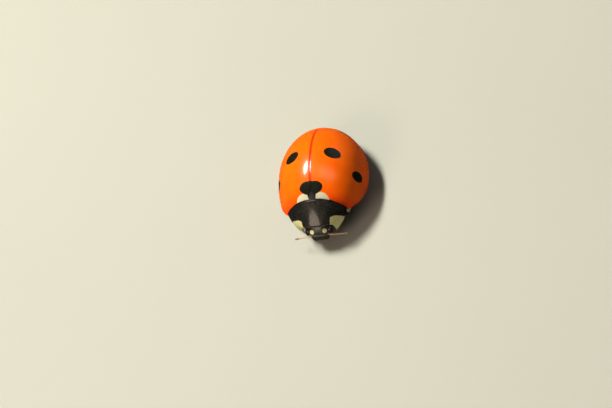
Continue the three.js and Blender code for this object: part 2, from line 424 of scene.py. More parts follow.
def lerp(first, second, share):
    return first + (second - first) * share


def smooth(value, low, high):
    """0 below low, 1 above high, and an easy slope between them."""
    share = min(max((value - low) / (high - low), 0.0), 1.0)
    return share * share * (3 - 2 * share)


# %% [markdown]
# ## The wing cases
# Two elytra roof the body. Together they are an oval dome, squarer in front than behind, and each
# ends in a thin bead with a flat fold turned in below it, the epipleuron. A sphere cut in two would
# have its poles in the wrong places, so each case is a flat grid, laid over the dome with one edge on
# the suture. The grid's far strip goes on round the rim and makes the bead and the fold.

# %% The shape of the back
front_fullness = 2.33
rear_fullness = 2.0
rim_rise = 0.135
joint_middle = -2.34
joint_corner = -2.5
pronotum_half_width = 1.7
scutellum_half_width = 0.19
scutellum_length = 0.36
scutellum_front = joint_middle + 0.03


def plan_of(y):
    return (front_reach, front_fullness) if y < 0 else (rear_reach, rear_fullness)


def back_level(x, y):
    """The height of the back over a point of the plan."""
    reach, fullness = plan_of(y)
    spread = (abs(x) / half_width) ** fullness + (abs(y) / reach) ** fullness
    return back_height * math.sqrt(max(0.0, 1 - spread ** (2 / fullness)))


def rim_level(y):
    return rim_rise * y * y if y < 0 else 0.0


def rim_half_width(y):
    reach, fullness = plan_of(y)
    spread = math.sqrt(1 - (rim_level(y) / back_height) ** 2) ** fullness
    return half_width * max(0.0, spread - (abs(y) / reach) ** fullness) ** (1 / fullness)


def outwards(x, y):
    """The direction away from the body, level, at a point of the rim."""
    reach, fullness = plan_of(y)
    sideways = abs(x) ** (fullness - 1) / half_width ** fullness
    endways = math.copysign(abs(y) ** (fullness - 1) / reach ** fullness, y)
    return Vector((sideways, endways, 0)).normalized()


def joint_line(x):
    """Where the wing cases meet the pronotum."""
    return lerp(joint_middle, joint_corner, min(abs(x) / pronotum_half_width, 1) ** 2)


def scutellum_edge(y):
    along = (y - scutellum_front) / scutellum_length
    return scutellum_half_width * max(0.0, 1 - along) * (1 + 0.3 * along)


# %% Lay a grid over one half of the back
suture_gap = 0.008
case_thickness = 0.07
bead_radius = 0.028
fold_width = 0.4
fold_width_at_tip = 0.12
fold_slope = 0.15
rim_share = 0.8
bead_share = 0.4
bead_stands_out = 0.8 * bead_radius
tip_angle = math.radians(88.8)


def on_wing_case(across, along):
    """A point of the left wing case. Across runs from 0 at the suture, along from 0 in front."""
    front_angle = math.asin(joint_middle / front_reach)
    angle = lerp(front_angle, tip_angle, along)
    middle = plan_of(angle)[0] * math.sin(angle)
    inner = suture_gap + scutellum_edge(middle)
    follows_joint = (1 - smooth(along, 0, 0.3)) ** 2
    y = middle
    for _ in range(4):
        outer = max(inner, rim_half_width(y))
        x = lerp(inner, outer, math.sin(min(across / rim_share, 1) * math.pi / 2))
        y = middle + (joint_line(x) - joint_middle) * follows_joint
    away = outwards(x, y)
    if across <= rim_share:
        near_rim = smooth(across / rim_share, 0.93, 1)
        return Vector((x, y, back_level(x, y))) + away * (bead_stands_out * near_rim)
    rim = Vector((x, y, rim_level(y)))
    past_rim = (across - rim_share) / (1 - rim_share)
    if past_rim < bead_share:
        turn = past_rim / bead_share * math.pi / 2
        stands_out = bead_stands_out - bead_radius * (1 - math.cos(turn))
        return rim + away * stands_out + Vector((0, 0, -bead_radius * math.sin(turn)))
    inward = (past_rim - bead_share) / (1 - bead_share)
    width = lerp(fold_width_at_tip, fold_width, smooth(1 - along, 0, 0.12))
    reach_in = bead_radius - bead_stands_out + inward * width
    return rim - away * reach_in + Vector((0, 0, fold_slope * reach_in - bead_radius))


def wing_case(side_name, side, material):
    bm = bmesh.new()
    lay_grid(bm, columns=72, rows=96, place=on_wing_case)
    bmesh.ops.scale(bm, vec=(side, 1, 1), verts=bm.verts)
    if side < 0:
        bmesh.ops.reverse_faces(bm, faces=bm.faces)
    merge_doubles(bm)
    thicken(bm, case_thickness)
    made = piece(f"wing_case_{side_name}", bm, material, [f"elytron_{side_name}"])
    soften_edges(made, 0.02)


# %% [markdown]
# ## The markings
# Seven spots lie on the two cases: one over the scutellum, shared by both, and three on each side.
# A white patch stands on either side of the scutellum. Painting an image would tie them to a picture
# size, so each is an oval in millimetres on the body. A little noise is added to the distance from
# its centre, so that the edge wanders as pigment does.

# %% Colours of the wing cases
def seven_spots(mirrored):
    middle = oval_distance(mirrored, (1.19, 0.28, 2.5), (0.44, 0.34, 9), (0, 0, -18))
    side = oval_distance(mirrored, (2.35, -0.68, 1.15), (0.9, 0.31, 0.40))
    rear = oval_distance(mirrored, (1.33, 2.56, 0.95), (0.34, 0.29, 0.36))
    front = oval_distance(mirrored, (0.15, -1.79, 2.3), (0.52, 0.33, 9), (0, 0, 6))
    front_neck = oval_distance(mirrored, (0, -1.98, 2.2), (0.25, 0.55, 9))
    nearest = calc("SMOOTH_MIN", front, front_neck, 0.25)
    for distance in (middle, side, rear):
        nearest = calc("MINIMUM", nearest, distance)
    return nearest


def orange_with_painted_shade(place, mirrored, tone):
    """Orange that turns red towards the pronotum and the suture, and is painted darker towards the
    rim as shade.
    """
    sideways, backwards, height = split(mirrored)
    orange = mix(tone, (0.74, 0.078, 0.001), (0.80, 0.124, 0.001))
    orange = mix(between(backwards, -2.6, -1.7, 0.75, 0.0), orange, (0.70, 0.029, 0.002))
    # Painted shade: lower down, towards the rim, the orange is painted darker and redder.
    orange = mix(between(height, 0.0, 1.0, 0.55, 0.0), orange, (0.60, 0.040, 0.002))
    orange = mix(between(sideways, 0.04, 0.11, 0.9, 0.0), orange, (0.68, 0.012, 0.004))
    speckle = between(noise(place, 22.0), 0.52, 0.7, 0.0, 0.16)
    orange = mix(speckle, orange, (0.82, 0.17, 0.01))
    # Below the level of the rim, on the fold, the colour is darker still.
    return mix(between(height, -0.06, -0.015, 1.0, 0.0), orange, (0.5, 0.07, 0.01))


def wing_case_material():
    material, place = new_material("orange_wing_case")
    mirrored = both_sides(place)
    waver = wander(place, 3.5, 0.16)
    spots = between(calc("ADD", seven_spots(mirrored), waver), 0.97, 1.05, 1.0, 0.0)
    patch = oval_distance(mirrored, (0.54, -2.42, 2.1), (0.42, 0.38, 9), (0, 0, -14))
    patch = between(calc("ADD", patch, waver), 0.94, 1.06, 1.0, 0.0)
    tone = noise(place, 1.3, 4.0)
    skin = orange_with_painted_shade(place, mirrored, tone)
    skin = mix(patch, skin, mix(tone, (0.46, 0.42, 0.28), (0.51, 0.48, 0.36)))
    skin = mix(spots, skin, mix(tone, (0.004, 0.005, 0.003), (0.010, 0.011, 0.007)))
    relief = calc("MULTIPLY_ADD", noise(place, 1.6), 4.0, pits(place, 15.0, 0.36))
    dull = uneven(place, 9.0, 0.24, 0.34)
    shine = {"Specular IOR Level": 0.04, "Coat Weight": 0.12, "Coat Roughness": 0.13, "Coat IOR": 1.8}
    return finish(material, skin, dull, relief, 0.003, shine)


# %% Make both wing cases
orange_shell = wing_case_material()
for side_name, side in SIDES.items():
    wing_case(side_name, side, orange_shell)

# %% [markdown]
# ## The scutellum
# This little black triangle fills the notch between the bases of the wing cases. It is a grid too:
# its sides follow the same curve as the notch, and its far end shrinks to a point, where the merged
# points close it.

# %% Make the scutellum
scutellum_tuck = 0.06
scutellum_crown = 0.03
scutellum_sunk = 0.02


def on_scutellum(across, along):
    y = lerp(scutellum_front - scutellum_tuck, scutellum_front + scutellum_length, along)
    sideways = 2 * across - 1
    x = sideways * scutellum_edge(max(y, scutellum_front))
    crown = scutellum_crown * (1 - sideways * sideways)
    return Vector((x, y, back_level(x, y) - scutellum_sunk + crown))


def scutellum(material):
    bm = bmesh.new()
    lay_grid(bm, columns=12, rows=14, place=on_scutellum)
    merge_doubles(bm)
    thicken(bm, 0.05)
    made = piece("scutellum_plate", bm, material, ["scutellum"])
    soften_edges(made, 0.01, 2)


def black_shell_material():
    """Black chitin: dark brown where it is thin, pitted, and bright with a thin clear coat."""
    material, place = new_material("black_shell")
    thin = between(noise(place, 2.4, 4.0), 0.35, 0.75, 0.0, 0.3)
    skin = mix(thin, (0.010, 0.010, 0.009), (0.045, 0.026, 0.016))
    dull = uneven(place, 11.0, 0.26, 0.40)
    shine = {"Specular IOR Level": 0.3, "Coat Weight": 0.26, "Coat Roughness": 0.15}
    return finish(material, skin, dull, pits_in_net(place, 16.0, 0.34), 0.004, shine)


plain_black = black_shell_material()
scutellum(plain_black)

# %% [markdown]
# ## The pronotum
# The shield over the chest arches across, falls forward, and draws in to two front corners beside
# the eyes. Four rows of four points describe it as a Bezier patch, which stays smooth however finely
# the grid is cut. The grid's own UV map is kept, because the cream corners follow the plate's edges:
# across the plate and forward along it are just what the map holds.

# %% The shape of the pronotum
pronotum_rows = [
    [
        (0, joint_middle, 2.06),
        (pronotum_half_width / 3, joint_middle, 2.04),
        (pronotum_half_width * 2 / 3, (2 * joint_middle + joint_corner) / 3, 1.96),
        (pronotum_half_width, joint_corner, 1.05),
    ],
    [(0, -2.8, 1.75), (0.56, -2.8, 1.75), (1.2, -2.86, 1.5), (1.6, -2.86, 0.75)],
    [(0, -3.27, 1.37), (0.53, -3.27, 1.37), (1.14, -3.12, 1.38), (1.32, -3.16, 0.45)],
    [(0, -3.61, 1.02), (0.5, -3.61, 1.04), (1, -3.36, 1.22), (0.9, -3.38, 0.23)],
]


def bezier(points, share):
    """The point of a Bezier curve, found by drawing line after line between its points."""
    while len(points) > 1:
        points = [lerp(first, second, share) for first, second in zip(points, points[1:])]
    return points[0]


def on_pronotum(across, forward):
    columns = [bezier([Vector(row[i]) for row in pronotum_rows], forward) for i in range(4)]
    point = bezier(columns, abs(across))
    return Vector((math.copysign(point.x, across), point.y, point.z))


def pronotum(material):
    bm = bmesh.new()
    bm.loops.layers.uv.new("plate")
    bmesh.ops.create_grid(bm, x_segments=72, y_segments=36, size=0.5, calc_uvs=True)
    grid_place = {vert: (2 * vert.co.x, vert.co.y + 0.5) for vert in bm.verts}
    for vert, (across, forward) in grid_place.items():
        vert.co = on_pronotum(across, forward)
    bm.normal_update()
    for vert, (across, forward) in grid_place.items():
        side_bead = 0.022 * smooth(abs(across), 0.955, 0.985)
        front_bead = 0.016 * smooth(forward, 0.955, 0.985)
        hind_roll = -0.03 * smooth(1 - forward, 0.95, 1)
        vert.co += vert.normal * (max(side_bead, front_bead) + hind_roll)
    thicken(bm, 0.08)
    made = piece("pronotum_shield", bm, material, ["pronotum"])
    soften_edges(made, 0.018)


# %% Colours of the pronotum
def pronotum_material():
    material, place = new_material("black_and_cream_pronotum")
    plate = split(node("UVMap", {}, place.id_data, uv_map="plate").outputs[0])
    across = calc("ABSOLUTE", calc("MULTIPLY_ADD", plate["X"], 2.0, -1.0))
    forward = plate["Y"]
    past_inner_edge = calc("SUBTRACT", across, 0.555)
    past_rear_edge = calc("SUBTRACT", forward, calc("MULTIPLY_ADD", across, -0.62, 1.01))
    inside = calc("SMOOTH_MIN", past_inner_edge, past_rear_edge, 0.12)
    cream_share = between(calc("ADD", inside, wander(place, 4.0, 0.10)), -0.03, 0.0)
    rim_share = calc("MULTIPLY", between(forward, 0.962, 0.985), 0.32)
    tone = noise(place, 2.4, 4.0)
    black = mix(between(tone, 0.35, 0.75, 0.0, 0.2), (0.006, 0.006, 0.005), (0.040, 0.024, 0.017))
    cream = mix(tone, (0.44, 0.41, 0.185), (0.53, 0.51, 0.28))
    freckle = between(noise(place, 14.0), 0.55, 0.75, 0.0, 0.35)
    cream = mix(freckle, cream, (0.34, 0.26, 0.10))
    skin = mix(cream_share, mix(rim_share, black, (0.33, 0.27, 0.18)), cream)
    dull = uneven(place, 11.0, 0.24, 0.34)
    shine = {"Specular IOR Level": 0.16, "Coat Weight": 0.26, "Coat Roughness": 0.14}
    return finish(material, skin, dull, pits_in_net(place, 19.0, 0.36), 0.004, shine)


pronotum(pronotum_material())

# %% [markdown]
# ## The head
# The head hangs under the front of the pronotum with its face turned down and out. Its shape is
# easiest in the face's own directions, sideways, out of the face, and down it, so a ball is squared
# off and dented there and only then tilted into place. The clypeus narrows it towards the mouth.

# %% The shape of the head
head_centre = Vector((0, -3.33, 0.46))
head_radii = Vector((0.72, 0.45, 0.56))
face_tilt = math.radians(45)
face_out = Vector((0, -math.cos(face_tilt), math.sin(face_tilt)))
face_down = Vector((0, -math.sin(face_tilt), -math.cos(face_tilt)))
face_side = Vector((1, 0, 0))
feeler_hollow = (0.52, 0.36, 0.3)
eye_hollow = (0.6, 0.42, -0.05)


def on_face(sideways, outward, down):
    return head_centre + face_side * sideways + face_out * outward + face_down * down


def rounded(value, fullness):
    return math.copysign(abs(value) ** (2 / fullness), value)


def pebble(bm, radii, fullness, around, up):
    """A squared-off ball, its poles on the sideways axis."""
    quarter_turn = Matrix.Rotation(math.pi / 2, 4, "Y")
    shape = {"u_segments": around, "v_segments": up, "radius": 1, "matrix": quarter_turn}
    verts = bmesh.ops.create_uvsphere(bm, **shape)["verts"]
    for vert in verts:
        vert.co = [rounded(vert.co[i], fullness) * radii[i] for i in range(3)]
    return verts


def dent(point, middle, width, depth):
    """How far a soft round dent pushes a point in."""
    distance = (point - middle).length / width
    return depth * math.exp(-distance * distance)


def head(material):
    bm = bmesh.new()
    for vert in pebble(bm, head_radii, 2.8, 72, 48):
        place = vert.co.copy()
        sideways, outward, down = place
        towards_mouth = smooth(down, 0.1, 0.56)
        sideways *= 1 - 0.16 * towards_mouth
        for side in SIDES.values():
            outward -= dent(place, on_side(side, feeler_hollow), width=0.11, depth=0.07)
            outward -= dent(place, on_side(side, eye_hollow), width=0.12, depth=0.03)
        outward -= 0.02 * math.exp(-((sideways / 0.05) ** 2)) * smooth(down, -0.1, 0.3)
        if outward > 0:
            down -= 0.05 * towards_mouth * math.exp(-((sideways / 0.3) ** 2))
        vert.co = on_face(sideways, outward, down)
    close_ball(bm)
    spots = hair_spots(bm, head_centre)
    piece("head_capsule", bm, material, ["head"])
    return spots


# %% Colours of the head
def face_material():
    material, place = new_material("face")
    spot = oval_distance(both_sides(place), on_face(0.375, 0.42, 0.09), (0.13, 0.14, 0.14))
    pale = between(calc("ADD", spot, wander(place, 8.0, 0.3)), 0.92, 1.08, 1.0, 0.0)
    tone = noise(place, 4.0, 4.0)
    black = mix(tone, (0.008, 0.009, 0.007), (0.030, 0.028, 0.020))
    cream = mix(tone, (0.60, 0.55, 0.26), (0.70, 0.65, 0.37))
    dull = uneven(place, 12.0, 0.3, 0.46)
    shine = {"Specular IOR Level": 0.3, "Coat Weight": 0.2, "Coat Roughness": 0.2}
    return finish(material, mix(pale, black, cream), dull, pits(place, 26.0, 0.4), 0.004, shine)


black_face = face_material()
head_spots = head(black_face)

# %% [markdown]
# ## The compound eyes
# Each eye is a bulging oval packed with hexagonal lenses. An icosphere's points already sit in such
# a honeycomb. Cutting every edge in two leaves its old points as the middles of the lenses. The new
# points lie on straight chords, a hair inside the ball, which tells the two apart: lifting only the
# old ones makes each lens bulge.

# %% Make the eyes
eye_middle = Vector((0.62, 0.15, 0.07))
eye_radii = Vector((0.19, 0.2, 0.27))
on_the_ball = 0.9998
lens_bulge = 1.035


def eye(side_name, side, material):
    bm = bmesh.new()
    bmesh.ops.create_icosphere(bm, subdivisions=5, radius=1)
    bmesh.ops.subdivide_edges(bm, edges=bm.edges, cuts=1, use_grid_fill=True)
    for vert in bm.verts:
        if vert.co.length > on_the_ball:
            vert.co *= lens_bulge
        sideways, outward, down = [eye_middle[i] + vert.co[i] * eye_radii[i] for i in range(3)]
        vert.co = on_face(side * sideways, outward, down)
    close_ball(bm)
    piece(f"compound_eye_{side_name}", bm, material, [f"eye_{side_name}"])


def eye_material():
    material, place = new_material("eye")
    skin = mix(noise(place, 5.0), (0.006, 0.006, 0.008), (0.028, 0.020, 0.016))
    dull = uneven(place, 30.0, 0.12, 0.24, 2.0)
    shine = {"Coat Weight": 0.8, "Coat Roughness": 0.06}
    return finish(material, skin, dull, cells(place, 90.0), 0.0015, shine)


lens_black = eye_material()
for side_name, side in SIDES.items():
    eye(side_name, side, lens_black)

# %% [markdown]
# ## Limbs
# Feelers, palps and legs are all round limbs that swell and bend. A limb here is a description: a
# bent middle line, a radius along it, and how flat it is. Asking it for a point at some share of the
# way along and round gives its surface. The mesh is one disc, extruded ring after ring through those
# places, and later the bristles ask the same description where to stand.

# %% Describe a limb and build it
UP = Vector((0, 0, 1))


class Limb:
    def __init__(self, line, radii, flat=1.0, up=UP, blunt=0.6):
        self.line = [Vector(point) for point in line]
        self.radii = radii
        self.flat = flat
        self.up = up
        self.blunt = blunt

    def ring(self, along):
        """The matrix that carries a unit circle to the limb's section there."""
        ahead = bezier(self.line, along + 0.01) - bezier(self.line, along - 0.01)
        ahead.normalize()
        aside = ahead.cross(self.up).normalized()
        above = aside.cross(ahead)
        closing = math.sin(math.acos(1 - 2 * min(max(along, 0.004), 0.996)))
        radius = bezier(self.radii, along) * closing ** self.blunt
        turn = Matrix((aside * radius, above * radius * self.flat, ahead * radius)).transposed()
        return Matrix.Translation(bezier(self.line, along)) @ turn.to_4x4()

    def at(self, along, around):
        angle = 2 * math.pi * around
        return self.ring(along) @ Vector((math.cos(angle), math.sin(angle), 0))

    def build(self, bm, rings, sides):
        """Adds the limb to a bmesh. Each extrusion leaves its disc behind, inside the limb."""
        shares = [(1 - math.cos(math.pi * number / rings)) / 2 for number in range(rings + 1)]
        here = self.ring(shares[0])
        disc = bmesh.ops.create_circle(bm, cap_ends=True, radius=1, segments=sides, matrix=here)
        face = disc["verts"][0].link_faces[0]
        for share in shares[1:]:
            there = self.ring(share)
            grown = bmesh.ops.extrude_face_region(bm, geom=[face])["geom"]
            face = next(item for item in grown if isinstance(item, bmesh.types.BMFace))
            bmesh.ops.transform(bm, matrix=there @ here.inverted(), verts=face.verts[:])
            here = there


def limb_piece(name, limbs, material, nodes, rings=14, sides=14):
    bm = bmesh.new()
    for limb in limbs:
        limb.build(bm, rings, sides)
    bmesh.ops.recalc_face_normals(bm, faces=bm.faces)
    piece(name, bm, material, nodes)


# %% [markdown]
# ## The mouth
# Below the clypeus the face goes on in the labrum, a broad notched lip with a thin edge. Behind it
# the two jaws curve in to meet, and the palps fold in under them, each with the broad
# hatchet-shaped last joint that marks this family of beetles.

# %% Make lip, jaws and palps
lip_middle = Vector((0, 0.31, 0.44))
lip_radii = Vector((0.46, 0.12, 0.2))
lip_notch = 0.04
lip_fold_height = 0.012
lip_fold_place = 0.02
lip_fold_width = 0.02


def lip(material):
    bm = bmesh.new()
    for vert in pebble(bm, lip_radii, 3.4, 48, 28):
        sideways, outward, down = vert.co
        towards_edge = smooth(down, -0.1, 0.2)
        outward = outward * (1 - 0.6 * towards_edge) - 0.02 * towards_edge
        outward += lip_fold_height * math.exp(-(((down - lip_fold_place) / lip_fold_width) ** 2))
        down -= lip_notch * math.exp(-((sideways / 0.1) ** 2)) * towards_edge
        sideways *= 1 - 0.12 * towards_edge
        vert.co = on_face(sideways, lip_middle.y + outward, lip_middle.z + down)
    close_ball(bm)
    spots = hair_spots(bm, on_face(*lip_middle))
    piece("upper_lip", bm, material, ["labrum"])
    return spots


def jaws(side, side_name, material):
    root = on_face(side * 0.36, -0.1, 0.46)
    bend = on_face(side * 0.34, 0.0, 0.62)
    tip = on_face(side * 0.02, 0.1, 0.66)
    jaw = Limb([root, bend, bend, tip], [0.12, 0.13, 0.07, 0.02], 0.7, face_out)
    tooth_root = on_face(side * 0.2, 0.05, 0.6)
    tooth_tip = on_face(side * 0.06, 0.07, 0.57)
    tooth = Limb([tooth_root, tooth_tip], [0.05, 0.015], 0.8, face_out)
    limb_piece(f"jaw_{side_name}", [jaw, tooth], material, [f"mandible_{side_name}"])


def palp_joints(side):
    """The four joints of a palp, the last one broad and cut off like a hatchet."""
    places = [(0.36, -0.2, 0.40), (0.37, -0.24, 0.46), (0.33, -0.30, 0.55), (0.31, -0.32, 0.60)]
    root, first, second, third = [on_face(side * a, b, c) for a, b, c in places]
    tip = on_face(side * 0.24, -0.38, 0.74)
    flat_side = face_side * side + face_out * 0.5
    return [
        Limb([root, first], [0.045, 0.05]),
        Limb([first, second], [0.04, 0.055, 0.06]),
        Limb([second, third], [0.055, 0.06]),
        Limb([third, tip], [0.06, 0.13, 0.17, 0.13], 0.42, flat_side, 0.4),
    ]


def mouthpart_material():
    material, place = new_material("brown_mouthparts")
    brown = mix(noise(place, 6.0, 4.0), (0.060, 0.026, 0.012), (0.15, 0.07, 0.03))
    towards_root = between(split(place)["Z"], -0.42, -0.1, 0.0, 0.8)
    skin = mix(towards_root, brown, (0.014, 0.010, 0.008))
    dull = uneven(place, 15.0, 0.32, 0.5)
    return finish(material, skin, dull, noise(place, 45.0, 3.0), 0.004, {"Coat Weight": 0.15})


brown_mouth = mouthpart_material()
lip_spots = lip(black_face)
for side_name, side in SIDES.items():
    jaws(side, side_name, brown_mouth)
    palp_name = f"maxillary_palp_{side_name}"
    limb_piece(f"palp_{side_name}", palp_joints(side), brown_mouth, [palp_name])

# %% [markdown]
# ## The feelers
# A feeler has eleven joints: a stout first one, a round second, six slender ones, and a club of
# three. Each joint is a limb of its own, a little narrower at its root, threaded on one curve.

# %% Make the feelers
joint_lengths = [0.17, 0.11, 0.12, 0.09, 0.09, 0.085, 0.08, 0.075, 0.1, 0.1, 0.09]
joint_radii = [0.050, 0.040, 0.026, 0.024, 0.024, 0.025, 0.027, 0.031, 0.046, 0.054, 0.044]
feeler_line = [(0.47, -3.76, 0.46), (0.80, -3.80, 0.34), (1.15, -3.71, 0.25), (1.53, -3.65, 0.11)]


def feeler_joints(side):
    line = [on_side(side, point) for point in feeler_line]
    whole = sum(joint_lengths)
    joints = []
    gone = 0.0
    for length, radius in zip(joint_lengths, joint_radii):
        root = bezier(line, gone / whole)
        gone += length
        tip = bezier(line, gone / whole)
        overlap = (tip - root) * 0.06
        joints.append(Limb([root - overlap, tip + overlap], [radius * 0.62, radius, radius * 1.15]))
    return joints


def feeler_material():
    material, place = new_material("tan_feeler")
    reach = split(both_sides(place))["X"]
    tan = mix(noise(place, 9.0, 4.0), (0.40, 0.20, 0.09), (0.56, 0.33, 0.17))
    skin = mix(between(reach, 1.22, 1.40, 0.0, 0.75), tan, (0.12, 0.055, 0.03))
    skin = mix(between(reach, 0.5, 0.66, 0.6, 0.0), skin, (0.09, 0.04, 0.02))
    return finish(material, skin, uneven(place, 20.0, 0.38, 0.55), noise(place, 60.0, 3.0), 0.003)


tan_feeler = feeler_material()
for side_name, side in SIDES.items():
    joints = feeler_joints(side)
    name = f"feeler_{side_name}"
    limb_piece(name, joints, tan_feeler, [f"antenna_{side_name}"], 9, 12)

# %% [markdown]
# ## The legs
# At rest the thighs lie close under the belly and the shins fold back along them, with the feet flat
# on the ground. A leg is coxa, trochanter and thigh, then a shin with two spurs, then the foot: a
# wedge-shaped joint, a two-lobed one, and a slender last joint with two toothed claws. A leg is
# described by the places of its hip, knee, ankle and toe, the same ones as in the solids.

# %% Where the legs bend
leg_joints = {
    "front": [(0.3, -2.15, 0.55), (0.98, -2.7, 0.62), (1.05, -2.02, 0.24), (1.3, -1.62, 0.18)],
    "middle": [(0.6, -1.2, 0.52), (1.95, -1.35, 0.54), (1.78, -0.5, 0.24), (2.12, 0, 0.18)],
    "hind": [(0.55, -0.15, 0.52), (1.9, 0.5, 0.54), (1.5, 1.6, 0.24), (1.7, 2.25, 0.18)],
}


def joints_of(pair, side):
    return [Vector((side * x, y, height + floor_level)) for x, y, height in leg_joints[pair]]


def over_floor(point, height):
    return Vector((point.x, point.y, floor_level + height))


def thigh_limbs(pair, side):
    hip, knee, _, _ = joints_of(pair, side)
    along = knee - hip
    inner = hip - along * 0.26 + UP * 0.13
    coxa = Limb([inner, hip + along * 0.02 + UP * 0.08], [0.17, 0.23, 0.17], 0.62, UP, 0.5)
    trochanter = Limb([hip, hip + along * 0.16], [0.10, 0.13, 0.10], 0.85)
    belly = hip + along * 0.45 - UP * 0.02
    thigh = Limb([hip + along * 0.1, belly, knee], [0.12, 0.21, 0.19, 0.11], 0.68, UP, 0.5)
    return [coxa, trochanter, thigh]


def shin_limbs(pair, side):
    hip, knee, ankle, _ = joints_of(pair, side)
    out = (knee - hip).normalized()
    bow = knee.lerp(ankle, 0.5) + out * 0.05
    shin = Limb([knee, bow, ankle], [0.075, 0.07, 0.09, 0.085], 0.8, UP, 0.5)
    ahead = (ankle - knee).normalized()
    spurs = []
    for aside in (-0.03, 0.03):
        root = ankle - ahead * 0.03 + out * aside - UP * 0.04
        spurs.append(Limb([root, root + ahead * 0.1 + out * aside], [0.016, 0.006]))
    return [shin, *spurs]


def foot_limbs(pair, side):
    """Wedge joint, the two lobes of the padded joint, and the slender last joint."""
    _, _, ankle, toe = joints_of(pair, side)
    first = over_floor(ankle.lerp(toe, 0.34), 0.075)
    second = over_floor(ankle.lerp(toe, 0.62), 0.05)
    last_root = over_floor(ankle.lerp(toe, 0.5), 0.10)
    last_middle = over_floor(ankle.lerp(toe, 0.75), 0.16)
    last_tip = over_floor(ankle.lerp(toe, 0.98), 0.11)
    aside = (over_floor(toe, 0) - over_floor(ankle, 0)).normalized().cross(UP)
    wedge = Limb([ankle, first], [0.05, 0.07, 0.095], 0.75)
    lobes = [
        Limb([first - UP * 0.01, second + aside * spread], [0.06, 0.075, 0.06], 0.62, UP, 0.5)
        for spread in (-0.055, 0.055)
    ]
    last = Limb([last_root, last_middle, last_tip], [0.030, 0.034, 0.045])
    return [wedge, *lobes, last]


def claw_limbs(pair, side):
    _, _, ankle, toe = joints_of(pair, side)
    ahead = (over_floor(toe, 0) - over_floor(ankle, 0)).normalized()
    aside = ahead.cross(UP)
    root = over_floor(ankle.lerp(toe, 0.97), 0.11)
    limbs = []
    for spread in (-1, 1):
        start = root + aside * (0.018 * spread)
        bend = start + ahead * 0.10 + aside * (0.05 * spread) + UP * 0.01
        tip = over_floor(start + ahead * 0.13 + aside * (0.055 * spread), 0.006)
        limbs.append(Limb([start, bend, bend, tip], [0.026, 0.022, 0.016, 0.004]))
        tooth = over_floor(start + ahead * 0.07 + aside * (0.03 * spread), 0.045)
        limbs.append(Limb([start, tooth], [0.024, 0.006]))
    return limbs


# %% Colours of the legs
def leg_material(name, dark, light):
    material, place = new_material(name)
    skin = mix(between(noise(place, 5.0, 4.0), 0.35, 0.7), dark, light)
    relief = calc("ADD", pits(place, 30.0, 0.4), noise(place, 28.0, 3.0))
    shine = {"Coat Weight": 0.2, "Coat Roughness": 0.2}
    return finish(material, skin, uneven(place, 14.0, 0.3, 0.48), relief, 0.004, shine)


leg_black = leg_material("leg_black", (0.010, 0.009, 0.008), (0.034, 0.022, 0.014))
foot_brown = leg_material("foot_brown", (0.030, 0.018, 0.010), (0.085, 0.045, 0.022))
claw_brown = leg_material("claw_brown", (0.060, 0.026, 0.010), (0.13, 0.06, 0.022))
for pair in leg_joints:
    for side_name, side in SIDES.items():
        ending = f"{pair}_{side_name}"
        femur, tibia, tarsus = [f"{pair}_{part}_{side_name}" for part in ("femur", "tibia", "tarsus")]
        limb_piece(f"thigh_{ending}", thigh_limbs(pair, side), leg_black, [femur], 18, 18)
        limb_piece(f"shin_{ending}", shin_limbs(pair, side), leg_black, [tibia], 18, 14)
        limb_piece(f"foot_{ending}", foot_limbs(pair, side), foot_brown, [tarsus], 12, 14)
        limb_piece(f"claws_{ending}", claw_limbs(pair, side), claw_brown, [], 9, 8)

# %% [markdown]
# ## The underside
# Below, the animal is a shallow bowl of black plates. The belly has six, each lapping over the next
# as roof tiles do, and the chest has three in front of them. One function gives the bowl, and each
# plate is a grid cut from it whose hind edge stands a little proud.

# %% Plates of the chest and belly
bowl_half_width = 2.27
bowl_reach = {"front": 3.0, "rear": 2.98}
bowl_depth = 0.2
bowl_base = 0.04
bowl_follows_rim = 0.75
plate_lap = 0.052
plate_overlap = 0.03
plate_lift = 0.03
belly_ends = [-0.06, 0.62, 1.12, 1.55, 1.94, 2.36, 2.93]
chest_ends = [-2.3, -1.72, -1.02, -0.08]


def bowl_edge(y):
    reach = bowl_reach["front" if y < 0 else "rear"]
    fullness = plan_of(y)[1]
    return bowl_half_width * max(0.0, 1 - (abs(y) / reach) ** fullness) ** (1 / fullness)


def on_bowl(across, y):
    """A point of the underside. Across runs from -1 to 1, edge to edge."""
    reach = bowl_reach["front" if y < 0 else "rear"]
    x = bowl_edge(y) * math.sin(across * math.pi / 2)
    endways = max(0.0, 1 - (abs(y) / reach) ** 4)
    level = -bowl_depth * math.cos(across * math.pi / 2) ** 0.7 * math.sqrt(endways)
    return Vector((x, y, level + rim_level(y) * bowl_follows_rim + bowl_base))


def on_plate(front, rear, across, along):
    """A point of a plate that slopes down to its hind edge. Across and along run from 0 to 1."""
    point = on_bowl(2 * across - 1, lerp(front, rear + plate_overlap, along))
    return point + UP * (plate_lift - plate_lap * smooth(along, 0, 1))


def plate_row(name, ends, material, nodes):
    bm = bmesh.new()
    for front, rear in zip(ends, ends[1:]):
        lay_grid(bm, columns=40, rows=8, place=partial(on_plate, front, rear))
    bmesh.ops.recalc_face_normals(bm, faces=bm.faces)
    if sum(face.normal.z for face in bm.faces) > 0:
        bmesh.ops.reverse_faces(bm, faces=bm.faces)
    thicken(bm, 0.04)
    made = piece(name, bm, material, nodes)
    soften_edges(made, 0.012, 2)


plate_row("belly_plates", belly_ends, plain_black, ["abdomen"])
plate_row("chest_plates", chest_ends, plain_black, ["chest"])

# %% The front of the chest, and the pale plates on its flanks
neck_middle = Vector((0, -2.72, 0.45))
neck_radii = Vector((1.47, 0.46, 0.60))
neck_keel = 0.05
flank_middle = Vector((1.56, -2.1, 0.16))
flank_radii = Vector((0.06, 0.21, 0.17))


